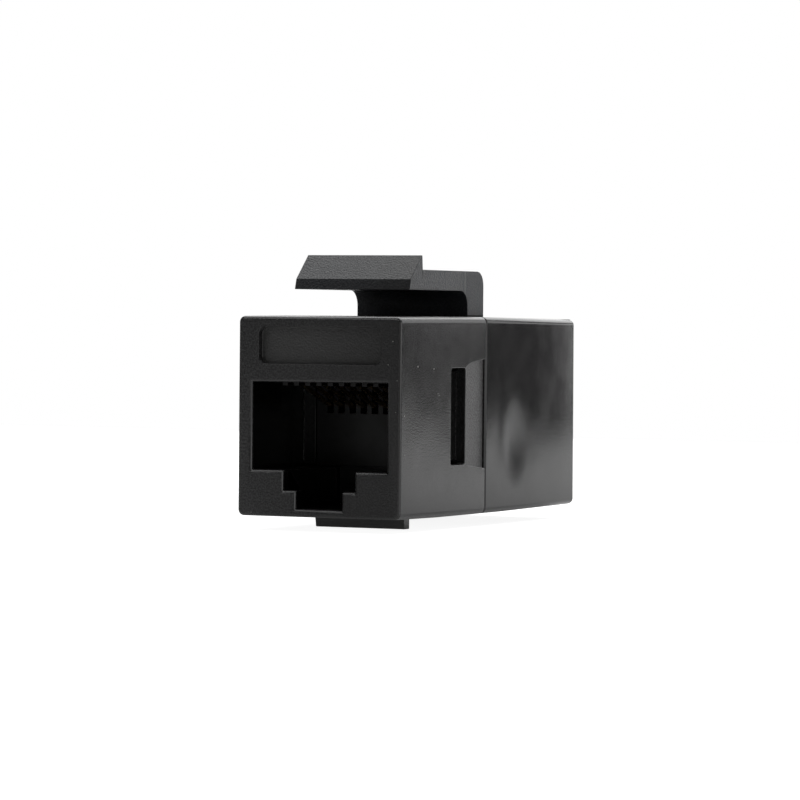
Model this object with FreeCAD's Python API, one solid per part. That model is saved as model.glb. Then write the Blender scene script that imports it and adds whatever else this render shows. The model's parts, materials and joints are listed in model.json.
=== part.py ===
import FreeCAD, Part
import math
import os

from FreeCAD import Vector

# An inline coupler for two network plugs, moulded in two halves that snap together.
# Millimetres. X is to the right seen from the front, Y runs from the front face to the
# rear face, Z is up. The origin is the centre of the front face.

# Contacts, which set the width of the plug and so of its port
contact_count = 8
contact_pitch = 1.016
port_side_margin = 1.936

# Plug port, the standard size for an eight-way plug
port_height = 7.05
shoulder_width = 6.38
shoulder_drop = 1.63
notch_width = 4.1
notch_drop = 3.11
mouth_chamfer = 0.3
plug_depth = 9.2
latch_wall = 1.2
latch_channel_width = 6.5

# Housing walls
side_wall = 1.25
floor_wall = 0.69
head_height = 5.35
front_length = 16.25
rear_length = 18.75
corner_radius = 0.5
face_edge_radius = 0.25
seam_chamfer = 0.15
front_draft = 0.08
rear_draft = 0.13

# Label recess above the port, left bare
label_side_margin = 1.82
label_top_margin = 0.9
label_height = 3.0
label_depth = 0.65
label_corner_radius = 0.6

# Fixed lip under the front housing, which hooks behind a panel's edge
lip_rear = 8.57
lip_thickness = 0.9
lip_drop = 1.05
lip_width = 8.05
lip_front_slope = 0.25

# Side windows with the shallow strips behind them
window_length = 3.08
window_height = 7.9
window_corner_radius = 0.3
catch_setback = 3.32
strip_depth_front = 0.15
strip_depth_rear = 0.25
strip_flare_top = 0.9
strip_flare_bottom = 0.4
strip_bend_share = 0.55

# Snap tongues of the rear housing, which catch in the windows
tongue_thickness = 1.05
tongue_fit = 0.05
tongue_side_overlap = 0.15
lug_proud = 0.4
lug_length = 1.7
lug_flat = 0.35
lug_side_clearance = 0.05

# Sprung latch on top, moulded with the rear housing
latch_width_tip = 10.36
latch_width_root = 10.12
column_setback = 0.87
column_thickness = 3.26
latch_reach = 11.39
arm_clearance = 2.13
arm_thickness = 1.66
wedge_height = 1.15
wedge_length = 2.47
wedge_crest_flat = 0.16
tip_thickness = 0.85
tip_lean = 0.25
column_inner_radius = 1.3
column_outer_radius = 1.2
pivot_setback = 1.91
pivot_clearance = 0.05

# Contact insert, the same in both ports
insert_fit = 0.1
channel_fit = 0.05
plate_setback = 2.0
plate_height = 2.35
rail_depth = 0.6
rail_height = 1.0
rail_above_plate = 0.65
rail_fit = 0.05
keel_setback = 1.0
keel_fit = 0.1
pocket_depth = 2.0
pocket_floor_above_port = -1.15
pocket_side_wall = 0.6

# Contact wires
wire_width = 0.35
wire_thickness = 0.3
wire_bend_radius = 0.4
slot_side_clearance = 0.1
groove_side_clearance = 0.075
groove_floor_above_plate = 1.6
comb_length = 1.1
comb_proud = 0.3
drop_setback = 0.6
spring_slope = 20.0
spring_pivot_above_port = 0.35
spring_pivot_clearance = 0.04
spring_tip_setback = 0.6
spring_tip_room = 0.35
spring_lift_ceiling = 0.75
tail_leg_setback = 1.2
low_tail_drop = 2.2

# Circuit board between the two inserts
board_thickness = 1.6
board_hole_clearance = 0.14
tail_proud = 0.5

# Sizes that follow from the ones above
port_width = contact_count * contact_pitch + 2 * port_side_margin
body_width = port_width + 2 * side_wall
body_height = port_height + notch_drop + floor_wall + head_height
total_length = front_length + rear_length
half_width = body_width / 2
body_top = body_height / 2
body_bottom = -body_height / 2
port_top = body_top - head_height
port_bottom = port_top - port_height
shoulder_bottom = port_bottom - shoulder_drop
notch_bottom = port_bottom - notch_drop
catch_y = plug_depth + catch_setback
insert_width = port_width - 2 * (tongue_fit + tongue_thickness + insert_fit)
insert_top = port_top + plate_height
insert_bottom = port_bottom + insert_fit
keel_bottom = notch_bottom + keel_fit
board_face = (total_length - board_thickness) / 2
wire_centre_z = port_top + groove_floor_above_plate + wire_thickness / 2
drop_y = plate_setback + drop_setback
spring_pivot_z = port_top + spring_pivot_above_port
spring_end_y = plug_depth + spring_tip_setback
spring_length = (spring_end_y - drop_y) / math.cos(math.radians(spring_slope))
spring_end_z = spring_pivot_z - spring_length * math.sin(math.radians(spring_slope))
low_tail_z = wire_centre_z - low_tail_drop
tail_leg_y = board_face - tail_leg_setback
slot_width = wire_width + 2 * slot_side_clearance
board_hole_radius = math.hypot(wire_width, wire_thickness) / 2 + board_hole_clearance / 2
column_front = front_length + column_setback
column_rear = column_front + column_thickness
arm_bottom = body_top + arm_clearance
arm_top = arm_bottom + arm_thickness
tip_y = column_front - latch_reach
pivot_y = column_front - pivot_setback
pivot_z = (arm_bottom + arm_top) / 2

# Working lengths: how far a cut runs past a face, how far an added form is rooted in its
# carrier, how near to a plane an edge counts as lying in it, and how far the middle of a
# quarter round lies from its corner's two sides, as a share of the radius
overrun = 1.0
root_overlap = 0.4
edge_tolerance = 1e-6
quarter_sag = 1 - math.sqrt(0.5)


def block(width, y_low, y_high, z_low, z_high, x_middle=0.0):
    """A plain block, centred on x_middle."""
    corner = Vector(x_middle - width / 2, y_low, z_low)
    return Part.makeBox(width, y_high - y_low, z_high - z_low, corner)


def mirrored(shape):
    """The same shape on the other side of the middle plane."""
    return shape.mirror(Vector(0, 0, 0), Vector(1, 0, 0))


def turned(shape):
    """The same shape in the rear port: half a turn about the upright line through the middle."""
    copy = shape.copy()
    copy.rotate(Vector(0, total_length / 2, 0), Vector(0, 0, 1), 180)
    return copy


def side_profile(edges, width):
    """Extrude a closed outline in the YZ plane to a width centred on X = 0."""
    face = Part.Face(Part.Wire(edges))
    face.translate(Vector(-width / 2, 0, 0))
    return face.extrude(Vector(width, 0, 0))


def polygon_edges(points):
    """Straight edges joining the points, closed."""
    return [Part.makeLine(start, end) for start, end in zip(points, points[1:] + points[:1])]


def quarter_round(start, corner, end):
    """The quarter circle that rounds a square corner off between two points."""
    middle = corner + ((start - corner) + (end - corner)) * quarter_sag
    return Part.Arc(start, middle, end).toShape()


def perimeter_at(shape, y):
    """The edges of a shape that lie in the upright plane at y."""
    return [edge for edge in shape.Edges
            if all(abs(vertex.Y - y) < edge_tolerance for vertex in edge.Vertexes)]


def edges_along(shape, axis):
    """The edges of a block that run along an axis, or nearly so."""
    return [edge for edge in shape.Edges
            if abs((edge.Vertexes[-1].Point - edge.Vertexes[0].Point).dot(axis)) > edge_tolerance]


def housing_block(y_seam, y_level, y_end, draft):
    """The outer form of one half, level from the seam to y_level and closing in by a draft at its end."""
    outline = [
        Vector(0, y_seam, body_bottom), Vector(0, y_level, body_bottom), Vector(0, y_end, body_bottom + draft),
        Vector(0, y_end, body_top - draft), Vector(0, y_level, body_top), Vector(0, y_seam, body_top),
    ]
    if y_end < y_seam:
        outline.reverse()
    body = side_profile(polygon_edges(outline), body_width)
    return body.makeFillet(corner_radius, edges_along(body, Vector(0, 1, 0)))


def port_outline(y, grow):
    """The T-shaped port outline at y, each side grown outwards."""
    corners = [
        (port_width / 2, port_top, 1),
        (port_width / 2, port_bottom, -1),
        (shoulder_width / 2, port_bottom, -1),
        (shoulder_width / 2, shoulder_bottom, -1),
        (notch_width / 2, shoulder_bottom, -1),
        (notch_width / 2, notch_bottom, -1),
    ]
    right = [Vector(x + grow, y, z + way * grow) for x, z, way in corners]
    left = [Vector(-point.x, point.y, point.z) for point in reversed(right)]
    return Part.makePolygon(right + left + right[:1])


def port_space():
    """All that is hollow from the mouth to the plug's stop, in the front port's place."""
    mouth = Part.makeLoft([port_outline(0, mouth_chamfer), port_outline(mouth_chamfer, 0)], True, True)
    throat = Part.Face(port_outline(mouth_chamfer, 0)).extrude(Vector(0, plug_depth - mouth_chamfer, 0))
    return mouth.fuse(throat)


def insert_space(pocket_width, depth):
    """The channel, rail grooves and pocket that take the insert, open towards the seam."""
    channel_width = insert_width + 2 * channel_fit
    ceiling = insert_top + insert_fit
    channel = block(channel_width, plate_setback, depth, port_top, ceiling)
    rails = block(
        insert_width + 2 * (rail_depth + rail_fit), plate_setback, depth,
        port_top + rail_above_plate - rail_fit, port_top + rail_above_plate + rail_height + rail_fit)
    pocket = block(pocket_width, plug_depth, depth, port_bottom, ceiling)
    latch_channel = block(latch_channel_width, latch_wall, depth, notch_bottom, port_bottom)
    return channel.fuse([rails, pocket, latch_channel])


def label_recess():
    """The shallow recess above the port, with rounded corners."""
    width = body_width - 2 * label_side_margin
    high = body_top - label_top_margin
    recess = block(width, -overrun, label_depth, high - label_height, high)
    return recess.makeFillet(label_corner_radius, edges_along(recess, Vector(0, 1, 0)))


def lip():
    """The fixed lip under the front housing: upright behind, leaning back in front."""
    root = body_bottom + root_overlap
    bottom = body_bottom - lip_drop
    bottom_front = lip_rear - lip_thickness
    root_front = bottom_front - lip_front_slope * (root - bottom) / lip_drop
    outline = polygon_edges([
        Vector(0, bottom_front, bottom), Vector(0, lip_rear, bottom),
        Vector(0, lip_rear, root), Vector(0, root_front, root),
    ])
    return side_profile(outline, lip_width)


def side_window():
    """The tall slot through the right side wall, with rounded corners."""
    centre = port_width / 2 + side_wall / 2
    half = window_height / 2
    window = block(side_wall + overrun, catch_y - window_length, catch_y, -half, half, centre)
    return window.makeFillet(window_corner_radius, edges_along(window, Vector(1, 0, 0)))


def side_strip():
    """The shallow strip from the right window back to the seam, flared and deeper at the seam."""
    half = window_height / 2
    start_y = catch_y - window_corner_radius
    bend_y = start_y + (front_length - start_y) * strip_bend_share
    top_start = Vector(0, start_y, half)
    top_middle = Vector(0, bend_y, half + strip_flare_top * strip_bend_share ** 2)
    top_end = Vector(0, front_length, half + strip_flare_top)
    bottom_start = Vector(0, start_y, -half)
    bottom_end = Vector(0, front_length, -half - strip_flare_bottom)
    outline = [
        Part.Arc(top_start, top_middle, top_end).toShape(), Part.makeLine(top_end, bottom_end),
        Part.makeLine(bottom_end, bottom_start), Part.makeLine(bottom_start, top_start),
    ]
    wall = side_profile(outline, 2 * body_width)
    floor = [
        Vector(half_width - strip_depth_front, start_y, -body_height),
        Vector(half_width - strip_depth_rear, front_length, -body_height),
        Vector(half_width + overrun, front_length, -body_height),
        Vector(half_width + overrun, start_y, -body_height),
    ]
    wedge = Part.Face(Part.Wire(polygon_edges(floor))).extrude(Vector(0, 0, 2 * body_height))
    return wall.common(wedge)


def front_housing():
    """The half with the front port, the label recess, the lip and the side windows."""
    body = housing_block(front_length, lip_rear - lip_thickness, 0, front_draft)
    body = body.makeFillet(face_edge_radius, perimeter_at(body, 0))
    body = body.makeChamfer(seam_chamfer, perimeter_at(body, front_length))
    window = side_window()
    strip = side_strip()
    hollow = [
        port_space(), insert_space(port_width, front_length), label_recess(),
        window, mirrored(window), strip, mirrored(strip),
    ]
    return body.cut(hollow).fuse(lip()).removeSplitter()


def snap_tongue():
    """The right tongue of the rear housing, with the lug that catches on the window's rear edge."""
    outer = port_width / 2 - tongue_fit
    half = window_height / 2 + tongue_side_overlap
    arm = block(
        tongue_thickness, plug_depth, front_length + root_overlap, -half, half, outer - tongue_thickness / 2)
    lug_half = window_height / 2 - window_corner_radius - lug_side_clearance
    lug_front = catch_y - lug_length
    points = [
        Vector(outer, lug_front, -lug_half), Vector(outer + lug_proud, catch_y - lug_flat, -lug_half),
        Vector(outer + lug_proud, catch_y, -lug_half), Vector(outer - root_overlap, catch_y, -lug_half),
        Vector(outer - root_overlap, lug_front, -lug_half),
    ]
    lug = Part.Face(Part.Wire(polygon_edges(points))).extrude(Vector(0, 0, 2 * lug_half))
    return arm.fuse(lug)


def latch_taper():
    """Limits the latch's width, which narrows a little from its tip to its root."""
    low = body_top - root_overlap
    points = [
        Vector(latch_width_tip / 2, tip_y, low), Vector(latch_width_root / 2, column_rear, low),
        Vector(-latch_width_root / 2, column_rear, low), Vector(-latch_width_tip / 2, tip_y, low),
    ]
    return Part.Face(Part.Wire(polygon_edges(points))).extrude(Vector(0, 0, body_height))


def latch_column():
    """The column of the latch and the short root of its arm, ending in a hollow round seat."""
    seat_radius = arm_thickness / 2 + pivot_clearance
    seat_reach = math.sqrt(seat_radius ** 2 - (arm_thickness / 2) ** 2)
    low = body_top - root_overlap
    root_low = Vector(0, pivot_y + seat_reach, arm_bottom)
    root_high = Vector(0, pivot_y + seat_reach, arm_top)
    seat = Vector(0, pivot_y + seat_radius, pivot_z)
    inner_corner = Vector(0, column_front, arm_bottom)
    inner_start = inner_corner - Vector(0, 0, column_inner_radius)
    inner_end = inner_corner - Vector(0, column_inner_radius, 0)
    outer_corner = Vector(0, column_rear, arm_top)
    outer_start = outer_corner - Vector(0, column_outer_radius, 0)
    outer_end = outer_corner - Vector(0, 0, column_outer_radius)
    foot_front = Vector(0, column_front, low)
    foot_rear = Vector(0, column_rear, low)
    outline = [
        Part.makeLine(foot_front, inner_start), quarter_round(inner_start, inner_corner, inner_end),
        Part.makeLine(inner_end, root_low), Part.Arc(root_low, seat, root_high).toShape(),
        Part.makeLine(root_high, outer_start), quarter_round(outer_start, outer_corner, outer_end),
        Part.makeLine(outer_end, foot_rear), Part.makeLine(foot_rear, foot_front),
    ]
    return side_profile(outline, latch_width_tip).common(latch_taper())


def rear_housing():
    """The half with the rear port, the snap tongues and the latch's column."""
    body = housing_block(front_length, column_rear, total_length, rear_draft)
    body = body.makeFillet(face_edge_radius, perimeter_at(body, total_length))
    body = body.makeChamfer(seam_chamfer, perimeter_at(body, front_length))
    pocket_width = insert_width + 2 * insert_fit
    body = body.cut([turned(port_space()), turned(insert_space(pocket_width, rear_length))])
    tongue = snap_tongue()
    return body.fuse([tongue, mirrored(tongue), latch_column()]).removeSplitter()


def latch_arm():
    """The flexing arm of the latch with its wedge, round where it bends at the root."""
    radius = arm_thickness / 2
    crest_y = tip_y + wedge_length
    crest = arm_top + wedge_height
    low_end = Vector(0, pivot_y, arm_bottom)
    high_end = Vector(0, pivot_y, arm_top)
    points = [
        high_end, Vector(0, crest_y, arm_top), Vector(0, crest_y, crest),
        Vector(0, crest_y - wedge_crest_flat, crest), Vector(0, tip_y + tip_lean, arm_bottom + tip_thickness),
        Vector(0, tip_y, arm_bottom), low_end,
    ]
    outline = [Part.makeLine(start, end) for start, end in zip(points, points[1:])]
    outline.append(Part.Arc(low_end, Vector(0, pivot_y + radius, pivot_z), high_end).toShape())
    return side_profile(outline, latch_width_tip).common(latch_taper())


def contact_places():
    """The X place of each contact, from left to right."""
    first = -(contact_count - 1) / 2 * contact_pitch
    return [first + index * contact_pitch for index in range(contact_count)]


def contact_insert():
    """The moulded carrier of eight contact wires: a grooved top plate, a comb and a block."""
    plate = block(insert_width, plate_setback, plug_depth, port_top, insert_top)
    rail_z = port_top + rail_above_plate
    rails = block(insert_width + 2 * rail_depth, plate_setback, plug_depth, rail_z, rail_z + rail_height)
    body = block(insert_width, plug_depth, board_face, insert_bottom, insert_top)
    keel_width = latch_channel_width - 2 * keel_fit
    keel = block(keel_width, plug_depth + keel_setback, board_face, keel_bottom, insert_bottom)
    comb_width = contact_count * contact_pitch + contact_pitch - slot_width
    comb_end = plate_setback + comb_length
    comb = block(comb_width, plate_setback, comb_end, port_top - comb_proud, port_top)
    pocket = block(
        insert_width - 2 * pocket_side_wall, board_face - pocket_depth, board_face + overrun,
        port_top + pocket_floor_above_port, insert_top + overrun)
    cuts = [pocket]
    groove_width = wire_width + 2 * groove_side_clearance
    groove_floor = port_top + groove_floor_above_plate
    ceiling = port_top + spring_lift_ceiling
    slot_bottom = spring_end_z - spring_tip_room
    slot_end = spring_end_y + 2 * spring_tip_room + wire_thickness
    for x in contact_places():
        cuts.append(block(slot_width, plate_setback - overrun, comb_end,
                          port_top - comb_proud - overrun, insert_top + overrun, x))
        cuts.append(block(groove_width, comb_end, board_face, groove_floor, insert_top + overrun, x))
        cuts.append(block(slot_width, comb_end, plug_depth, port_top - overrun, ceiling, x))
        cuts.append(block(slot_width, plug_depth - overrun, slot_end, slot_bottom, ceiling, x))
    return plate.fuse([rails, body, keel, comb]).cut(cuts).removeSplitter()


def bent_path(points, radius):
    """The centre line of a bent wire: straight runs joined by tangent arcs."""
    edges = []
    start = points[0]
    for before, corner, after in zip(points, points[1:], points[2:]):
        back = (before - corner).normalize()
        ahead = (after - corner).normalize()
        half_angle = back.getAngle(ahead) / 2
        entry = corner + back * (radius / math.tan(half_angle))
        leave = corner + ahead * (radius / math.tan(half_angle))
        inward = (back + ahead).normalize()
        middle = corner + inward * (radius / math.sin(half_angle) - radius)
        edges.append(Part.makeLine(start, entry))
        edges.append(Part.Arc(entry, middle, leave).toShape())
        start = leave
    edges.append(Part.makeLine(start, points[-1]))
    return Part.Wire(edges)


def contact_wire(x, low_tail):
    """The held part of a contact: board tail, run in the top groove and drop at the comb."""
    tail_end = board_face + board_thickness + tail_proud
    drop_end = spring_pivot_z + wire_thickness / 2 + spring_pivot_clearance
    tail_z = low_tail_z if low_tail else wire_centre_z
    points = [Vector(x, tail_end, tail_z)]
    if low_tail:
        points.append(Vector(x, tail_leg_y, low_tail_z))
        points.append(Vector(x, tail_leg_y, wire_centre_z))
    points.append(Vector(x, drop_y, wire_centre_z))
    points.append(Vector(x, drop_y, drop_end))
    side = wire_width / 2
    thick = wire_thickness / 2
    corners = [Vector(x + dx, tail_end, tail_z + dz)
               for dx, dz in ((side, thick), (side, -thick), (-side, -thick), (-side, thick))]
    section = Part.Wire(polygon_edges(corners))
    return bent_path(points, wire_bend_radius).makePipeShell([section], True, False)


def contact_spring(x):
    """The free arm of a contact, which the plug lifts: a strip with round ends."""
    radius = wire_thickness / 2
    near_low = Vector(0, drop_y, spring_pivot_z - radius)
    near_high = Vector(0, drop_y, spring_pivot_z + radius)
    far_low = near_low + Vector(0, spring_length, 0)
    far_high = near_high + Vector(0, spring_length, 0)
    outline = [
        Part.makeLine(near_low, far_low),
        Part.Arc(far_low, Vector(0, drop_y + spring_length + radius, spring_pivot_z), far_high).toShape(),
        Part.makeLine(far_high, near_high),
        Part.Arc(near_high, Vector(0, drop_y - radius, spring_pivot_z), near_low).toShape(),
    ]
    arm = side_profile(outline, wire_width)
    arm.rotate(Vector(0, drop_y, spring_pivot_z), Vector(1, 0, 0), -spring_slope)
    arm.translate(Vector(x, 0, 0))
    return arm


def circuit_board():
    """The board that joins the two ports, with a hole for each tail."""
    board = block(insert_width, board_face, board_face + board_thickness, insert_bottom, insert_top)
    holes = []
    for number, x in enumerate(contact_places()):
        tail_z = low_tail_z if number % 2 else wire_centre_z
        for place in (x, -x):
            start = Vector(place, board_face - overrun, tail_z)
            holes.append(Part.makeCylinder(
                board_hole_radius, board_thickness + 2 * overrun, start, Vector(0, 1, 0)))
    return board.cut(holes)


def build():
    """Every piece by its name."""
    insert = contact_insert()
    pieces = {
        "front_housing": front_housing(),
        "rear_housing": rear_housing(),
        "latch_arm": latch_arm(),
        "circuit_board": circuit_board(),
        "front_contact_insert": insert,
        "rear_contact_insert": turned(insert),
    }
    for number, x in enumerate(contact_places()):
        low_tail = number % 2 == 1
        wire = contact_wire(x, low_tail)
        spring = contact_spring(x)
        pieces["front_contact_%d" % (number + 1)] = wire
        pieces["rear_contact_%d" % (number + 1)] = turned(wire)
        pieces["front_spring_%d" % (number + 1)] = spring
        pieces["rear_spring_%d" % (number + 1)] = turned(spring)
    return pieces


os.makedirs("parts", exist_ok=True)
for name, shape in build().items():
    shape.exportStep("parts/%s.step" % name)
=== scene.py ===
import json
import math

import bmesh
import bpy
from mathutils import Matrix, Vector

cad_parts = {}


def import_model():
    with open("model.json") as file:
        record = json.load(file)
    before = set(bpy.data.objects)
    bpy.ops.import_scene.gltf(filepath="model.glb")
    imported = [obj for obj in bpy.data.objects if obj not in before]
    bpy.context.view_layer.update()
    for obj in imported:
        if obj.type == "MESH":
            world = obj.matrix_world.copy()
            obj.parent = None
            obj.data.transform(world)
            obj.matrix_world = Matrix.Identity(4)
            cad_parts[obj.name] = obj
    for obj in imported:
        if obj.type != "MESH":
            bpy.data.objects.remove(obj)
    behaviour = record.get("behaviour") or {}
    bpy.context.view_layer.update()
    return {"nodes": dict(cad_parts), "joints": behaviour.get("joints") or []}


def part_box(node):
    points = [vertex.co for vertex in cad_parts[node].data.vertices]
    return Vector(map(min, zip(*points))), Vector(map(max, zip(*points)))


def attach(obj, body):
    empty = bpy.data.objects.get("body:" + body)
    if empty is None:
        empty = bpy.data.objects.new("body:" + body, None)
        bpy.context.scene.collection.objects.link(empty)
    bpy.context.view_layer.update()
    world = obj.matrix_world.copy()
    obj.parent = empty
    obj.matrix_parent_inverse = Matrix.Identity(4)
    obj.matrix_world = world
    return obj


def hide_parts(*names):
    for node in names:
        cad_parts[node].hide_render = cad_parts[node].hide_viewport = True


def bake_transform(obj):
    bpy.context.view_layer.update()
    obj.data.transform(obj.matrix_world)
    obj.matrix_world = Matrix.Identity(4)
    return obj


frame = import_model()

# Lengths of the object are written in millimetres and multiplied by mm, those of the stage in
# metres. X is to the right seen from the front, Y runs from the front face to the rear face, Z is up.
mm = 0.001

# Levels and places that follow from the frame
seam_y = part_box("front_housing")[1].y
body_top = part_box("front_housing")[1].z
floor_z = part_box("front_housing")[0].z
total_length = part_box("rear_housing")[1].y
arm_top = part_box("rear_housing")[1].z
tip_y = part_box("latch_arm")[0].y
arm_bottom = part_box("latch_arm")[0].z
crest_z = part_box("latch_arm")[1].z
board_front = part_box("circuit_board")[0].y
board_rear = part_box("circuit_board")[1].y


def joint_place(name):
    """Where a joint's axis passes."""
    joint = next(joint for joint in frame["joints"] if joint["name"] == name)
    return Vector(joint["pos_m"])


# Moulded edges
weld_gap = 0.001 * mm
flat_angle = math.radians(0.4)
crisp_angle = math.radians(50)
edge_radius = 0.05 * mm
smooth_turn = math.radians(30)
round_turn = math.radians(50)
mouth_chamfer = 0.3 * mm
mouth_steps = 3
size_tolerance = 0.03 * mm
rear_draft = 0.13 * mm
carrier_radius = 0.04 * mm


def merged_faces(node):
    """A node's own form as an editable mesh, its flat faces made whole."""
    shape = bmesh.new()
    shape.from_mesh(frame["nodes"][node].data)
    bmesh.ops.remove_doubles(shape, verts=shape.verts, dist=weld_gap)
    bmesh.ops.dissolve_limit(shape, angle_limit=flat_angle, verts=shape.verts, edges=shape.edges)
    return shape


def round_mark(shape):
    """The mark that tells narrow rounds from the faces between them."""
    layers = shape.faces.layers.int
    return layers.get("rounded") or layers.new("rounded")


def is_mitre(edge):
    """Whether an edge runs across a port mouth's chamfer at a corner of the outline."""
    run = edge.verts[1].co - edge.verts[0].co
    return all(abs(abs(part) - mouth_chamfer) < size_tolerance for part in run)


def round_mouths(shape):
    """Turns the flat chamfers of the port's mouth into rounds of the same width."""
    mark = round_mark(shape)
    rows = [[] for step in range(mouth_steps - 1)]
    for edge in [edge for edge in shape.edges if is_mitre(edge)]:
        outer, inner = sorted(edge.verts, key=lambda vert: -abs(vert.co.y - total_length / 2))
        corner = Vector((inner.co.x, outer.co.y, inner.co.z))
        centre = outer.co + inner.co - corner
        to_outer = outer.co - centre
        to_inner = inner.co - centre
        for step, row in enumerate(rows):
            turn = math.pi / 2 * (step + 1) / mouth_steps
            rest = next(link for link in outer.link_edges if inner in link.verts)
            rest, outer = bmesh.utils.edge_split(rest, outer, 0.5)
            outer.co = centre + to_outer * math.cos(turn) + to_inner * math.sin(turn)
            row.append(outer)
    for row in rows:
        bmesh.ops.connect_verts(shape, verts=row)
        for face in {face for vert in row for face in vert.link_faces}:
            face[mark] = 1


def round_crisp_edges(shape, radius):
    """Rounds every crisp edge of a moulding."""
    mark = round_mark(shape)
    crisp = [edge for edge in shape.edges if edge.calc_face_angle(0) > crisp_angle]
    made = bmesh.ops.bevel(shape, geom=crisp, offset=radius, segments=2, profile=0.5,
                           affect="EDGES", clamp_overlap=False)
    for face in made["faces"]:
        face[mark] = 1


def corner_normal(face, vert, mark):
    """The normal at one corner of a face: that of the flat faces which meet there, if any do."""
    flat = [near for near in vert.link_faces if not near[mark]]
    around = flat or list(vert.link_faces)
    limit = smooth_turn if flat else round_turn
    likest = min(around, key=lambda near: near.normal.angle(face.normal, math.pi))
    total = Vector()
    for near in around:
        if near.normal.angle(likest.normal, math.pi) < limit:
            total += near.normal
    return total.normalized() if total.length else face.normal.copy()


def moulded(name, shape):
    """A piece whose flat faces shade flat and whose narrow rounds shade smoothly between them."""
    mark = round_mark(shape)
    shape.normal_update()
    normals = [corner_normal(face, loop.vert, mark) for face in shape.faces for loop in face.loops]
    mesh = bpy.data.meshes.new(name)
    shape.to_mesh(mesh)
    shape.free()
    mesh.shade_smooth()
    mesh.normals_split_custom_set(normals)
    piece = bpy.data.objects.new(name, mesh)
    bpy.context.scene.collection.objects.link(piece)
    return piece


# Sink mark, the shallow hollow that cooling left in the right side of the rear housing
sink_centre = Vector((0, 22.2, -2.4)) * mm
sink_reach = (2.9 * mm, 4.4 * mm)
sink_depth = 0.085 * mm
sink_cells = (16, 20)
faces_right = 0.9


def cut_faces(shape, faces, place, direction):
    """Cuts some faces along a plane and returns all the parts."""
    parts = dict.fromkeys(faces)
    for face in faces:
        parts.update(dict.fromkeys(face.edges))
        parts.update(dict.fromkeys(face.verts))
    made = bmesh.ops.bisect_plane(
        shape, geom=list(parts), dist=weld_gap, plane_co=place, plane_no=direction)
    return [part for part in made["geom"] if isinstance(part, bmesh.types.BMFace)]


def beyond(faces, place, axis, direction):
    """The faces whose middles lie past a place, forwards (1) or backwards (-1) along an axis."""
    return [face for face in faces
            if direction * (face.calc_center_median()[axis] - place[axis]) > 0]


def put_in_order(shape):
    """Orders the faces by their middles, because the cuts leave them in another order in each run."""
    ordered = sorted(shape.faces, key=lambda face: face.calc_center_median()[:])
    for index, face in enumerate(ordered):
        face.index = index
    shape.faces.sort()


def sink_mark(shape):
    """Presses the sink mark into the large flat face of the right side."""
    mark = round_mark(shape)
    right = [face for face in shape.faces if face.normal.x > faces_right]
    faces = [max(right, key=lambda face: face.calc_area())]
    for axis, reach, cells in zip((1, 2), sink_reach, sink_cells):
        direction = Vector((0, 0, 0))
        direction[axis] = 1
        for step in range(cells + 1):
            place = sink_centre + direction * reach * (2 * step / cells - 1)
            faces = cut_faces(shape, faces, place, direction)
            if step == 0:
                faces = beyond(faces, place, axis, 1)
            if step == cells:
                faces = beyond(faces, place, axis, -1)
    for face in faces:
        face[mark] = 1
    for vert in {vert for face in faces for vert in face.verts}:
        across = (vert.co.y - sink_centre.y) / sink_reach[0]
        upright = (vert.co.z - sink_centre.z) / sink_reach[1]
        vert.co.x -= sink_depth * max(0, 1 - across ** 2 - upright ** 2) ** 2
    put_in_order(shape)


# Upper edge of the shallow strips beside the side windows
strip_start = 12.22 * mm
strip_low = 3.9485 * mm
strip_high = 5.0 * mm
strip_inside = 6.8 * mm
window_top = 3.95 * mm
strip_rise = 0.7 * mm
strip_bow = 0.45


def bow_strips(shape):
    """Lets each strip's upper edge rise quickly beside its window and then run out flat."""
    for vert in shape.verts:
        x, y, z = vert.co
        if abs(x) > strip_inside and y > strip_start and strip_low < z < strip_high:
            share = (y - strip_start) / (seam_y - strip_start)
            vert.co.z = window_top + strip_rise * max(share, 0) ** strip_bow


# The rear housing's sides close in a little towards its rear end, more so at the top
side_close = 0.07 * mm
top_close = 0.08 * mm
skin_inside = 6.8 * mm


def close_in(shape):
    """Draws the outer sides of the rear housing inwards towards its rear end."""
    for vert in shape.verts:
        x, y, z = vert.co
        if abs(x) > skin_inside:
            along = max(0, (y - seam_y) / (total_length - seam_y))
            upward = (z + body_top) / (2 * body_top)
            vert.co.x -= math.copysign(along * (side_close + top_close * upward), x)


def front_shell():
    """The front housing with softened edges."""
    shape = merged_faces("front_housing")
    bow_strips(shape)
    round_mouths(shape)
    round_crisp_edges(shape, edge_radius)
    piece = moulded("front_shell", shape)
    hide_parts("front_housing")
    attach(piece, "housing")
    return piece


def rear_shell():
    """The rear housing with softened edges, up to the level where its latch starts."""
    shape = merged_faces("rear_housing")
    fall = Vector((0, rear_draft / (total_length - seam_y), 1))
    bmesh.ops.bisect_plane(
        shape, geom=shape.verts[:] + shape.edges[:] + shape.faces[:], dist=weld_gap,
        plane_co=(0, seam_y, body_top), plane_no=fall, clear_outer=True)
    open_edges = [edge for edge in shape.edges if edge.is_boundary]
    bmesh.ops.holes_fill(shape, edges=open_edges, sides=0)
    bmesh.ops.dissolve_limit(shape, angle_limit=flat_angle, verts=shape.verts, edges=shape.edges)
    round_mouths(shape)
    round_crisp_edges(shape, edge_radius)
    sink_mark(shape)
    close_in(shape)
    piece = moulded("rear_shell", shape)
    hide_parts("rear_housing")
    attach(piece, "housing")
    return piece


def carrier(end):
    """The moulded carrier of one port's wires, its edges softened."""
    node = end + "_contact_insert"
    shape = merged_faces(node)
    round_crisp_edges(shape, carrier_radius)
    piece = moulded(end + "_carrier", shape)
    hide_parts(node)
    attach(piece, "housing")
    return piece


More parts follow.
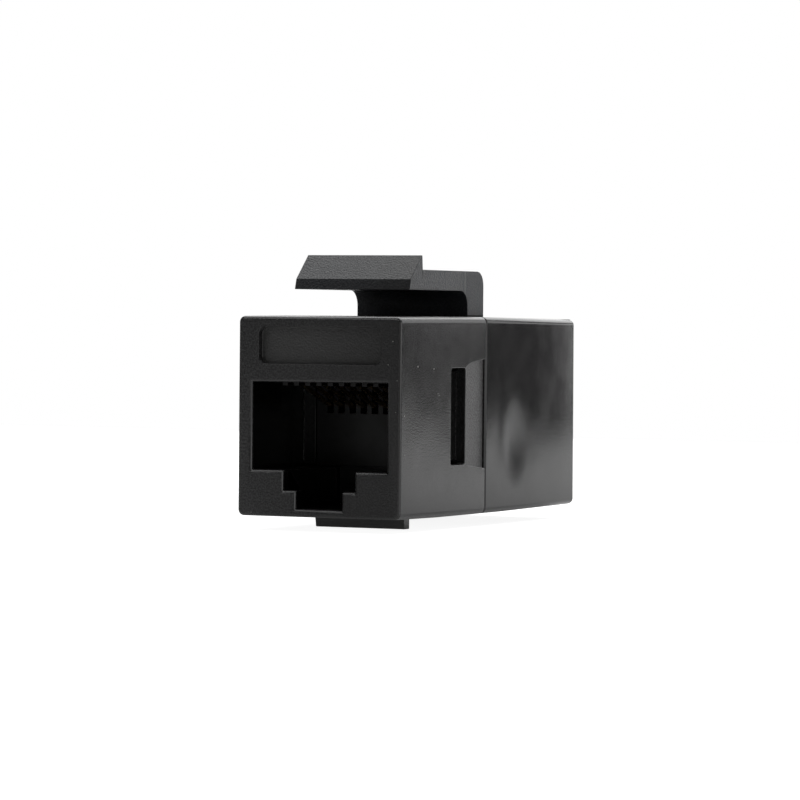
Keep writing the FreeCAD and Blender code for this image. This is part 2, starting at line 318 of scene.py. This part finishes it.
# Latch: an arm with a wedge, bent down into a column
column_front = seam_y + 0.87 * mm
column_rear = column_front + 3.26 * mm
width_tip = 10.36 * mm
width_root = 10.12 * mm
wedge_length = 2.47 * mm
crest_flat = 0.16 * mm
tip_thickness = 0.85 * mm
tip_lean = 0.25 * mm
inner_radius = 1.3 * mm
outer_radius = 1.2 * mm
foot_depth = 0.2 * mm
bend_stations = 34
corner_stations = 12


def shared(start, end, count):
    """Evenly spaced values after start, up to end."""
    return [start + (end - start) * (index + 1) / count for index in range(count)]


def latch_stations():
    """Pairs of points, under and over the latch, from its tip to its foot."""
    crest_y = tip_y + wedge_length
    crest_end = crest_y + crest_flat
    round_start = column_front - inner_radius
    stations = [
        ((tip_y, arm_bottom), (tip_y + tip_lean, arm_bottom + tip_thickness)),
        ((crest_y - crest_flat, arm_bottom), (crest_y - crest_flat, crest_z)),
        ((crest_y, arm_bottom), (crest_y, crest_z)),
        ((crest_end, arm_bottom), (crest_y, arm_top)),
    ]
    for y in shared(crest_end, round_start, bend_stations):
        stations.append(((y, arm_bottom), (y, arm_top)))
    level = arm_bottom - inner_radius
    straight = shared(round_start, column_rear - outer_radius, corner_stations // 4)
    over = [(y, arm_top) for y in straight]
    for angle in shared(0, math.pi / 2, corner_stations // 2):
        back = column_rear - outer_radius * (1 - math.sin(angle))
        over.append((back, arm_top - outer_radius * (1 - math.cos(angle))))
    over += [(column_rear, z) for z in shared(arm_top - outer_radius, level, corner_stations // 4)]
    for angle, top in zip(shared(0, math.pi / 2, corner_stations), over):
        front = column_front - inner_radius * (1 - math.sin(angle))
        stations.append(((front, level + inner_radius * math.cos(angle)), top))
    foot = body_top - foot_depth
    stations.append(((column_front, foot), (column_rear, foot)))
    return stations


def latch_half_width(y):
    """Half the latch's width, which narrows a little from tip to root."""
    share = (y - tip_y) / (column_rear - tip_y)
    return (width_tip + (width_root - width_tip) * share) / 2


def latch():
    """The whole latch in one skin, which turns down where the arm meets its column."""
    shape = bmesh.new()
    rings = []
    for under, over in latch_stations():
        ring = []
        for side, (y, z) in ((-1, under), (1, under), (1, over), (-1, over)):
            ring.append(shape.verts.new((side * latch_half_width(y), y, z)))
        rings.append(ring)
    for ring, following in zip(rings, rings[1:]):
        for corner in range(4):
            near, far = corner, (corner + 1) % 4
            shape.faces.new((ring[near], ring[far], following[far], following[near]))
    shape.faces.new(reversed(rings[0]))
    shape.faces.new(rings[-1])
    bmesh.ops.recalc_face_normals(shape, faces=shape.faces)
    round_crisp_edges(shape, edge_radius)
    piece = moulded("sprung_latch", shape)
    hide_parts("latch_arm")
    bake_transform(piece)
    return piece


# Contact wires
wire_width = 0.35 * mm
wire_thickness = 0.3 * mm
wire_corner = 0.05 * mm
bend_radius = 0.4 * mm
bend_steps = 6
wire_top_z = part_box("front_contact_1")[1].z - wire_thickness / 2
low_tail_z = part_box("front_contact_2")[0].z + wire_thickness / 2
tail_leg = 1.2 * mm
spring_slope = math.radians(20)


def rounded_path(points, radius):
    """The points of a centre line with its corners bent round."""
    path = [points[0]]
    for before, corner, after in zip(points, points[1:], points[2:]):
        back = (before - corner).normalized()
        ahead = (after - corner).normalized()
        half_angle = back.angle(ahead) / 2
        reach = radius / math.tan(half_angle)
        centre = corner + (back + ahead).normalized() * (radius / math.sin(half_angle))
        first = (corner + back * reach - centre).normalized()
        last = (corner + ahead * reach - centre).normalized()
        path += [centre + radius * first.slerp(last, step / bend_steps) for step in range(bend_steps + 1)]
    path.append(points[-1])
    return path


def wire_section():
    """The wire's section as (across, thick) pairs: a rectangle with its corners taken off."""
    across = wire_width / 2
    thick = wire_thickness / 2
    cut = wire_corner
    return [(across, thick - cut), (across - cut, thick), (cut - across, thick), (-across, thick - cut),
            (-across, cut - thick), (cut - across, -thick), (across - cut, -thick), (across, cut - thick)]


def wire_mesh(name, path):
    """A wire swept along a path that lies in one upright plane."""
    shape = bmesh.new()
    rings = []
    for index, point in enumerate(path):
        before = path[max(index - 1, 0)]
        after = path[min(index + 1, len(path) - 1)]
        along = (after - before).normalized()
        across = Vector((1, 0, 0))
        up = across.cross(along)
        rings.append([shape.verts.new(point + across * a + up * b) for a, b in wire_section()])
    for ring, following in zip(rings, rings[1:]):
        for near in range(len(ring)):
            far = (near + 1) % len(ring)
            shape.faces.new((ring[near], ring[far], following[far], following[near]))
    shape.faces.new(rings[0])
    shape.faces.new(rings[-1])
    bmesh.ops.recalc_face_normals(shape, faces=shape.faces)
    return moulded(name, shape)


def contact(end, number):
    """One contact of one port, in one length from its free tip to its board tail."""
    node = "%s_contact_%d" % (end, number)
    spring = "%s_spring_%d" % (end, number)
    pivot = joint_place(end + "_contacts_lift")
    inward = 1 if end == "front" else -1
    low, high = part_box(node)
    x = (low.x + high.x) / 2
    board_near = board_front if end == "front" else board_rear
    tail_end = high.y if end == "front" else low.y
    low_tail = number % 2 == 0
    tail_z = low_tail_z if low_tail else wire_top_z
    tip_low, tip_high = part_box(spring)
    reach = (tip_high.y - tip_low.y) - wire_thickness
    points = [Vector((x, tail_end, tail_z))]
    if low_tail:
        leg_y = board_near - inward * tail_leg
        points += [Vector((x, leg_y, low_tail_z)), Vector((x, leg_y, wire_top_z))]
    points += [Vector((x, pivot.y, wire_top_z)), Vector((x, pivot.y, pivot.z))]
    points.append(Vector((x, pivot.y + inward * reach, pivot.z - reach * math.tan(spring_slope))))
    piece = wire_mesh("%s_wire_%d" % (end, number), rounded_path(points, bend_radius))
    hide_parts(node, spring)
    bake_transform(piece)
    return piece


# Nodes that materials and the stage share
def linked(tree, value, socket):
    """Gives a socket another node's output, or a plain value."""
    if isinstance(value, bpy.types.NodeSocket):
        tree.links.new(value, socket)
    else:
        socket.default_value = value


def stepped(tree, operation, *values):
    """One arithmetic step on up to three values."""
    step = tree.nodes.new("ShaderNodeMath")
    step.operation = operation
    for value, socket in zip(values, step.inputs):
        linked(tree, value, socket)
    return step.outputs[0]


def eased(tree, value, low, high, to_low=0.0, to_high=1.0):
    """Maps a range to another, smoothly, and holds it at both ends."""
    ease = tree.nodes.new("ShaderNodeMapRange")
    ease.interpolation_type = "SMOOTHSTEP"
    for given, socket in zip((value, low, high, to_low, to_high), ease.inputs):
        linked(tree, given, socket)
    return ease.outputs[0]


def grey(level):
    """A neutral colour."""
    return (level, level, level, 1)


# Materials
class Surface:
    """A material whose nodes read the object's own place in millimetres."""

    def __init__(self, name):
        self.material = bpy.data.materials.new(name)
        self.material.use_nodes = True
        self.tree = self.material.node_tree
        self.shader = self.tree.nodes["Principled BSDF"]
        place = self.tree.nodes.new("ShaderNodeTexCoord")
        scale = self.tree.nodes.new("ShaderNodeVectorMath")
        scale.operation = "SCALE"
        scale.inputs["Scale"].default_value = 1 / mm
        self.tree.links.new(place.outputs["Object"], scale.inputs[0])
        self.place = scale.outputs[0]
        self.normal = place.outputs["Normal"]

    def math(self, operation, *values):
        """One arithmetic step."""
        return stepped(self.tree, operation, *values)

    def product(self, *shares):
        """Shares multiplied together."""
        total = shares[0]
        for share in shares[1:]:
            total = self.math("MULTIPLY", total, share)
        return total

    def rest(self, share):
        """What a share leaves of the whole."""
        return self.math("SUBTRACT", 1.0, share)

    def parts(self, vector):
        """The X, Y and Z of a vector."""
        split = self.tree.nodes.new("ShaderNodeSeparateXYZ")
        self.tree.links.new(vector, split.inputs[0])
        return list(split.outputs)

    def stretched(self, factors):
        """The place, stretched along each axis."""
        stretch = self.tree.nodes.new("ShaderNodeVectorMath")
        stretch.operation = "MULTIPLY"
        self.tree.links.new(self.place, stretch.inputs[0])
        stretch.inputs[1].default_value = factors
        return stretch.outputs[0]

    def noise(self, per_mm, detail=2.0, roughness=0.5, factors=None):
        """Soft noise with so many waves per millimetre."""
        noise = self.tree.nodes.new("ShaderNodeTexNoise")
        place = self.stretched(factors) if factors else self.place
        self.tree.links.new(place, noise.inputs["Vector"])
        noise.inputs["Scale"].default_value = per_mm
        noise.inputs["Detail"].default_value = detail
        noise.inputs["Roughness"].default_value = roughness
        return noise.outputs["Fac"]

    def ranged(self, value, *limits):
        """Maps a range to another, smoothly, and holds it at both ends."""
        return eased(self.tree, value, *limits)

    def mixed(self, share, first, second):
        """A colour between two."""
        mix = self.tree.nodes.new("ShaderNodeMix")
        mix.data_type = "RGBA"
        for value, name in zip((share, first, second), ("Factor", "A", "B")):
            linked(self.tree, value, mix.inputs[name])
        return mix.outputs["Result"]

    def bump(self, height, depth, before=None):
        """Relief of a depth in millimetres, on top of other relief."""
        bump = self.tree.nodes.new("ShaderNodeBump")
        bump.inputs["Strength"].default_value = 1.0
        bump.inputs["Distance"].default_value = depth * mm
        self.tree.links.new(height, bump.inputs["Height"])
        if before is not None:
            self.tree.links.new(before, bump.inputs["Normal"])
        return bump.outputs["Normal"]

    def finish(self, **sockets):
        """Sets the shader's sockets by their names, spaces written as underscores."""
        for name, value in sockets.items():
            linked(self.tree, value, self.shader.inputs[name.replace("_", " ")])
        return self.material


# Regions of the housing's surface, each a box of spans of |X|, Y and Z in millimetres
side_strips = ((6.9, 7.2), (12.2, 16.12), (-4.8, 4.8))
label_floor = ((-1, 5.5), (0.6, 0.7), (4.1, 7.3))
port_walls = ((-1, 6.05), (0.32, 34.68), (-7.45, 2.8))
window_walls = ((-1, 7.15), (9.1, 12.21), (-3.96, 3.96))

# Other places on it in millimetres: where each region begins, or the span in which it fades
latch_span = (8.2, 8.3)
seam_span = (16.2, 16.3)
lip_span = (-8.25, -8.15)
shaded_span = (-3.0, 7.0)
outer_x = 7.0
outer_z = 7.8
middle_y = 17.5
outer_reach = 17.1
parting_y = 16.6
parting_span = (0.06, 0.12)

# How squarely a face looks along an axis: a side, a flat face, an edge with painted highlight
side_facing = (0.5, 0.9)
flat_facing = (0.93, 0.99)
highlight_facing = (0.8, 0.97)

# Specks of dust: X, Y, Z and radius in millimetres
dust = (
    (7.25, 3.1, 4.1, 0.09), (7.25, 6.1, 3.9, 0.07), (7.25, 6.9, 1.9, 0.05), (7.25, 7.1, 1.75, 0.05),
    (7.25, 0.7, 0.2, 0.08), (6.1, 0, 4.25, 0.05), (-6.0, 0, -7.75, 0.06), (-3.8, 0, 7.75, 0.04),
    (7.25, 0.8, -2.9, 0.05), (6.9, 0, 3.0, 0.05), (6.8, 0, 0.5, 0.04), (6.5, 0, 6.1, 0.06),
)
dust_core = 0.5

# Relief of the housing: waves per millimetre, and depths in millimetres
wave_scale = 0.16
wave_depth = 0.03
streak_scale = 1.0
streak_stretch = (1.0, 1.6, 0.12)
streak_depth = 0.002
grain_scale = 6.5
grain_depth = 0.055
fine_scale = 14.0
fine_depth = 0.002
patch_scale = 0.45

# Share of the grain and of the speckle on smooth sides: what the front half adds, and the least
side_grain = (0.07, 0.04)
side_speckle = (0.62, 0.08)
speckle_limits = (0.43, 0.6)

# Refraction and roughness of the housing: roughness of smooth faces, and what each region adds
front_refraction = 1.7
rear_refraction = 1.52
smooth_roughness = (0.11, 0.14)
patch_limits = (0.3, 0.7)
front_roughness = 0.05
rear_latch_roughness = 0.14
textured_roughness = 0.2

# Tones of the housing, and how strongly some of them cover the plastic
plastic_tones = ((0.008, 0.008, 0.0085, 1), (0.012, 0.0115, 0.0115, 1))
speckle_tone = (0.05, 0.05, 0.051, 1)
# Floor of the label recess painted paler, as light that offsets its shade
label_painted_light_tone = (0.085, 0.085, 0.084, 1)
# Latch painted paler and bluish, as the cool sheen of the light from above
latch_painted_sheen_tone = (0.03, 0.034, 0.041, 1)
latch_sheen_cover = 0.6
# Outer edges painted paler as highlight
edge_highlight_tone = (0.09, 0.09, 0.091, 1)
edge_highlight_cover = 0.8
# The mould's parting line on the latch painted pale as its highlight
parting_highlight_tone = (0.11, 0.115, 0.12, 1)
shaded_tone = grey(0.004)
shaded_cover = 0.7
# Walls of the ports and windows painted darker as shade
recess_shade_tone = grey(0.003)
# Lip painted paler, as the light it gets from the floor below
lip_painted_light_tone = grey(0.09)
dust_tone = (0.45, 0.44, 0.42, 1)


class HousingSurface(Surface):
    """The housing's plastic with its regions: each is one where it applies and nought elsewhere."""

    def __init__(self, name):
        super().__init__(name)
        self.x, self.y, self.z = self.parts(self.place)
        self.away_x = self.math("ABSOLUTE", self.x)
        facing = [self.math("ABSOLUTE", part) for part in self.parts(self.normal)]
        self.square = self.math("MAXIMUM", facing[0], self.math("MAXIMUM", facing[1], facing[2]))
        self.side = self.ranged(facing[0], *side_facing)
        self.on_latch = self.ranged(self.z, *latch_span)
        self.on_lip = self.ranged(self.z, *lip_span, 1.0, 0.0)
        self.front_half = self.ranged(self.y, *seam_span, 1.0, 0.0)
        self.textured = self.grained_faces()

    def box_share(self, box):
        """One within a box, nought elsewhere."""
        tests = []
        for value, (low, high) in zip((self.away_x, self.y, self.z), box):
            tests.append(self.math("GREATER_THAN", value, low))
            tests.append(self.math("LESS_THAN", value, high))
        return self.product(*tests)

    def grained_faces(self):
        """Flat faces with eroded grain: all but the two sides, and in these the strips."""
        special = self.math("MAXIMUM", self.on_latch, self.box_share(side_strips))
        grained = self.math("MAXIMUM", self.rest(self.side), special)
        flat = self.math("MAXIMUM", self.ranged(self.square, *flat_facing), self.on_latch)
        return self.product(grained, flat)

    def outside(self):
        """Near the outer faces of the body, and not deep within its ports and windows."""
        across = self.math("GREATER_THAN", self.away_x, outer_x)
        upright = self.math("GREATER_THAN", self.math("ABSOLUTE", self.z), outer_z)
        from_middle = self.math("ABSOLUTE", self.math("SUBTRACT", self.y, middle_y))
        along = self.math("GREATER_THAN", from_middle, outer_reach)
        return self.math("MAXIMUM", across, self.math("MAXIMUM", upright, along))

    def edge_highlight(self):
        """Outer edges of the body, painted a little paler as highlight."""
        edges = self.ranged(self.square, *highlight_facing, 1.0, 0.0)
        return self.product(edges, self.rest(self.on_latch), self.outside())

    def parting(self):
        """The line across the latch's sides where the two halves of its mould met, which is painted pale
        as its highlight.
        """
        away = self.math("ABSOLUTE", self.math("SUBTRACT", self.y, parting_y))
        return self.product(self.on_latch, self.side, self.ranged(away, *parting_span, 1.0, 0.0))

    def shaded(self):
        """The right of the front half, which is darker, but for its side."""
        return self.product(self.ranged(self.x, *shaded_span), self.front_half, self.rest(self.side))

    def inside(self):
        """The walls within the ports and the side windows, painted darker as shade."""
        return self.math("MAXIMUM", self.box_share(port_walls), self.box_share(window_walls))

    def dusty(self):
        """The specks of dust."""
        share = 0.0
        for x, y, z, radius in dust:
            far = self.tree.nodes.new("ShaderNodeVectorMath")
            far.operation = "DISTANCE"
            self.tree.links.new(self.place, far.inputs[0])
            far.inputs[1].default_value = (x, y, z)
            near = self.ranged(far.outputs["Value"], radius * dust_core, radius, 1.0, 0.0)
            share = self.math("MAXIMUM", share, near)
        return share


def housing_relief(surface):
    """Wide waves, faint streaks, the eroded grain, which is faint on the sides, and a fine haze."""
    least = surface.math("MULTIPLY_ADD", surface.front_half, *side_grain)
    grain_share = surface.math("MAXIMUM", surface.textured, least)
    grain = surface.product(surface.noise(grain_scale, detail=2.0, roughness=0.6), grain_share)
    streaks = surface.noise(streak_scale, detail=2.0, factors=streak_stretch)
    relief = surface.bump(surface.noise(wave_scale, detail=1.0), wave_depth)
    relief = surface.bump(streaks, streak_depth, relief)
    relief = surface.bump(grain, grain_depth, relief)
    return surface.bump(surface.noise(fine_scale, detail=1.0), fine_depth, relief)


def housing_roughness(surface, patches):
    """Glossy in patches, duller in the front half, on the rear of the latch and in the grain."""
    smoothness = surface.ranged(patches, *patch_limits)
    glossy = surface.ranged(smoothness, 0, 1, *smooth_roughness)
    rear_latch = surface.product(surface.on_latch, surface.rest(surface.front_half))
    duller = surface.math("MULTIPLY_ADD", surface.front_half, front_roughness,
                          surface.product(rear_latch, rear_latch_roughness))
    return surface.math("MULTIPLY_ADD", surface.textured, textured_roughness,
                        surface.math("ADD", glossy, duller))


def housing_tone(surface, patches):
    """Black in two shades, with the tones of its regions laid over it one after another."""
    least = surface.math("MULTIPLY_ADD", surface.front_half, *side_speckle)
    speckled = surface.math("MAXIMUM", surface.textured, least)
    speckle = surface.ranged(surface.noise(grain_scale, detail=3.0), *speckle_limits)
    tone = surface.mixed(patches, *plastic_tones)
    for share, over in (
            (surface.product(speckle, speckled), speckle_tone),
            (surface.box_share(label_floor), label_painted_light_tone),
            (surface.product(surface.on_latch, latch_sheen_cover), latch_painted_sheen_tone),
            (surface.product(surface.edge_highlight(), edge_highlight_cover), edge_highlight_tone),
            (surface.parting(), parting_highlight_tone),
            (surface.product(surface.shaded(), shaded_cover), shaded_tone),
            (surface.inside(), recess_shade_tone),
            (surface.on_lip, lip_painted_light_tone),
            (surface.dusty(), dust_tone)):
        tone = surface.mixed(share, tone, over)
    return tone


def housing_plastic(name, refraction):
    """Black moulded plastic: eroded grain, but for the two sides, which are almost smooth."""
    surface = HousingSurface(name)
    patches = surface.noise(patch_scale, detail=4.0, roughness=0.6)
    return surface.finish(
        Base_Color=housing_tone(surface, patches), Roughness=housing_roughness(surface, patches),
        Normal=housing_relief(surface), IOR=refraction)


# Carriers, wires and board: tones, roughness, waves per millimetre and depths in millimetres
# Carrier black made deeper as painted shade inside the ports
shaded_carrier_tones = (grey(0.003), grey(0.006))
carrier_roughness = (0.3, 0.42)
carrier_haze_scale = 0.6
carrier_relief = (14.0, 0.003)
# Gold darkened as painted shade inside the ports
shaded_gold_tones = ((0.5, 0.36, 0.16, 1), (0.42, 0.33, 0.2, 1))
gold_roughness = (0.22, 0.38)
gold_wear_scale = 1.3
gold_wear_limits = (0.35, 0.75)
drawn_scale = 6.0
drawn_stretch = (8.0, 1.0, 4.0)
drawn_depth = 0.004
board_tones = ((0.012, 0.07, 0.028, 1), (0.02, 0.11, 0.045, 1))
board_roughness = 0.35
weave_turns = 12.0
weave_depth = 0.006


def insert_plastic():
    """Black carrier plastic, painted deeper black as the shade inside the ports, smooth from a polished
    mould.
    """
    surface = Surface("insert_plastic")
    haze = surface.noise(carrier_haze_scale, detail=4.0)
    per_mm, depth = carrier_relief
    return surface.finish(
        Base_Color=surface.mixed(haze, *shaded_carrier_tones),
        Roughness=surface.ranged(haze, *patch_limits, *carrier_roughness),
        Normal=surface.bump(surface.noise(per_mm, detail=2.0), depth))


def contact_metal():
    """Gold over nickel, drawn along its length and a little dulled, its gold painted darker as the shade
    inside the ports.
    """
    surface = Surface("contact_metal")
    drawn = surface.noise(drawn_scale, detail=3.0, factors=drawn_stretch)
    wear = surface.noise(gold_wear_scale, detail=4.0)
    return surface.finish(
        Base_Color=surface.mixed(surface.ranged(wear, *gold_wear_limits), *shaded_gold_tones), Metallic=1.0,
        Roughness=surface.ranged(wear, *patch_limits, *gold_roughness),
        Normal=surface.bump(drawn, drawn_depth))


def board_laminate():
    """Green board with the weave of its glass cloth showing faintly."""
    surface = Surface("board_laminate")
    places = surface.parts(surface.place)
    across, upright = (surface.math("SINE", surface.product(places[axis], weave_turns))
                       for axis in (0, 2))
    weave = surface.math("MULTIPLY_ADD", surface.product(across, upright), 0.5, 0.5)
    return surface.finish(Base_Color=surface.mixed(weave, *board_tones), Roughness=board_roughness,
                          Normal=surface.bump(weave, weave_depth))


def give(piece, material):
    """Makes a material the piece's only one."""
    piece.data.materials.clear()
    piece.data.materials.append(material)


# Floor: a sheet whose paired values hold before dim_front and behind dim_rear
sheet_size = 0.6
sheet_front = -0.3
sheet_rear = 0.25
floor_gap = 0.02 * mm
dim_front = -0.06
dim_rear = 0.13
# Paper painted dim in front of the object as shade, pale behind it
shaded_paper_level = (0.25, 0.8)
paper_roughness = 0.9
paper_shine = 0.1
glow_seen = (1.0, 0.75)
glow_mirrored = (0.21, 0.09)


def from_front_to_rear(tree, front_value, rear_value):
    """A value of the floor that changes smoothly from before the object to behind it."""
    place = tree.nodes.new("ShaderNodeTexCoord")
    split = tree.nodes.new("ShaderNodeSeparateXYZ")
    tree.links.new(place.outputs["Object"], split.inputs[0])
    return eased(tree, split.outputs[1], dim_front, dim_rear, front_value, rear_value)


def paper_glow(tree, base):
    """Adds a glow that only the camera and reflections see, so that the pale ground looks white."""
    path = tree.nodes.new("ShaderNodeLightPath")
    glow = tree.nodes.new("ShaderNodeEmission")
    glow.inputs["Color"].default_value = grey(1.0)
    reflected = from_front_to_rear(tree, *glow_mirrored)
    mirrored = stepped(tree, "MULTIPLY", path.outputs["Is Glossy Ray"], reflected)
    seen = from_front_to_rear(tree, *glow_seen)
    level = stepped(tree, "MULTIPLY_ADD", path.outputs["Is Camera Ray"], seen, mirrored)
    tree.links.new(level, glow.inputs["Strength"])
    added = tree.nodes.new("ShaderNodeAddShader")
    tree.links.new(base, added.inputs[0])
    tree.links.new(glow.outputs[0], added.inputs[1])
    return added.outputs[0]


def floor():
    """A pale sheet just under the object, painted dim in front of it as shade; its glow makes it look
    white.
    """
    shape = bmesh.new()
    left, right = -sheet_size / 2, sheet_size / 2
    outline = ((left, sheet_front), (right, sheet_front), (right, sheet_rear), (left, sheet_rear))
    shape.faces.new([shape.verts.new((x, y, floor_z - floor_gap)) for x, y in outline])
    piece = moulded("floor", shape)
    material = bpy.data.materials.new("floor_paper")
    material.use_nodes = True
    tree = material.node_tree
    paper = tree.nodes["Principled BSDF"]
    shade = tree.nodes.new("ShaderNodeCombineColor")
    for socket in shade.inputs[:3]:
        tree.links.new(from_front_to_rear(tree, *shaded_paper_level), socket)
    tree.links.new(shade.outputs[0], paper.inputs["Base Color"])
    paper.inputs["Roughness"].default_value = paper_roughness
    paper.inputs["Specular IOR Level"].default_value = paper_shine
    output = tree.nodes["Material Output"]
    tree.links.new(paper_glow(tree, paper.outputs[0]), output.inputs["Surface"])
    give(piece, material)


# Lamps, each with its place, its size and its power, all turned towards the object's middle
lamps = (
    ("top_light", (0, 0.14, 0.4), (0.8, 0.56), 2.65),
    ("side_light", (0.5, 0.5, 0.22), (0.8, 0.36), 0.8),
    ("right_light", (0.58, -0.2, 0.06), (0.6, 0.3), 0.45),
    ("back_light", (-0.16, 0.62, 0.28), (0.6, 0.5), 1.5),
    ("far_card", (0.115, 0.587, 0.03), (0.13, 0.1), 0.06),
    ("front_light", (-0.1, -0.12, 0.12), (0.1, 0.1), 0.02),
)


def lights():
    """Soft rectangular lamps above, to the right and behind, and a small weak one in front."""
    middle = Vector((0, total_length / 2, 0))
    for name, place, size, power in lamps:
        lamp = bpy.data.lights.new(name, "AREA")
        lamp.shape = "RECTANGLE"
        lamp.size, lamp.size_y = size
        lamp.energy = power
        holder = bpy.data.objects.new(name, lamp)
        bpy.context.scene.collection.objects.link(holder)
        holder.location = place
        holder.rotation_euler = (middle - Vector(place)).to_track_quat("-Z", "Y").to_euler()
        holder.visible_camera = False


# Room: its brightest direction, its least level, and what that direction adds
bright_way = (0.433, 0.901, 0)
room_level = 0.02
room_rise = 0.06


def world():
    """White to the camera, dim to everything else."""
    scene_world = bpy.data.worlds.new("room")
    bpy.context.scene.world = scene_world
    scene_world.use_nodes = True
    tree = scene_world.node_tree
    room = tree.nodes["Background"]
    room.inputs["Color"].default_value = grey(1.0)
    way = tree.nodes.new("ShaderNodeTexCoord")
    along = tree.nodes.new("ShaderNodeVectorMath")
    along.operation = "DOT_PRODUCT"
    tree.links.new(way.outputs["Generated"], along.inputs[0])
    along.inputs[1].default_value = bright_way
    share = stepped(tree, "MULTIPLY_ADD", along.outputs["Value"], 0.5, 0.5)
    squared = stepped(tree, "MULTIPLY", share, share)
    level = stepped(tree, "MULTIPLY_ADD", squared, room_rise, room_level)
    tree.links.new(level, room.inputs["Strength"])
    white = tree.nodes.new("ShaderNodeBackground")
    white.inputs["Color"].default_value = grey(1.0)
    path = tree.nodes.new("ShaderNodeLightPath")
    mix = tree.nodes.new("ShaderNodeMixShader")
    tree.links.new(path.outputs["Is Camera Ray"], mix.inputs[0])
    tree.links.new(room.outputs[0], mix.inputs[1])
    tree.links.new(white.outputs[0], mix.inputs[2])
    tree.links.new(mix.outputs[0], tree.nodes["World Output"].inputs[0])


# Camera: the photograph's viewpoint
view_azimuth = math.radians(-25.589)
view_elevation = math.radians(1.129)
view_roll = math.radians(0.544)
view_offset = Vector((-6.481, 325.82, -1.368)) * mm
lens_length = 184.1
nearest_seen = 0.01


def camera():
    """A long lens, level with the top of the body, in front and to the right."""
    to_view = (Matrix.Rotation(view_roll, 3, "Y") @ Matrix.Rotation(view_elevation, 3, "X")
               @ Matrix.Rotation(view_azimuth, 3, "Z"))
    from_view = to_view.transposed()
    lens = bpy.data.cameras.new("camera")
    lens.lens = lens_length
    lens.clip_start = nearest_seen
    holder = bpy.data.objects.new("camera", lens)
    bpy.context.scene.collection.objects.link(holder)
    turn = from_view @ Matrix.Rotation(math.pi / 2, 3, "X")
    holder.matrix_world = Matrix.Translation(-(from_view @ view_offset)) @ turn.to_4x4()
    bpy.context.scene.camera = holder


camera()
world()
lights()
floor()

front_black = housing_plastic("front_plastic", front_refraction)
rear_black = housing_plastic("rear_plastic", rear_refraction)
shaded_carrier_black = insert_plastic()
metal = contact_metal()
blacks = ((front_shell(), front_black), (rear_shell(), rear_black), (latch(), rear_black))
for piece, black in blacks:
    give(piece, black)
for end in ("front", "rear"):
    give(carrier(end), shaded_carrier_black)
    for number in range(1, 9):
        give(contact(end, number), metal)
give(frame["nodes"]["circuit_board"], board_laminate())

bpy.context.scene.view_settings.view_transform = "Standard"
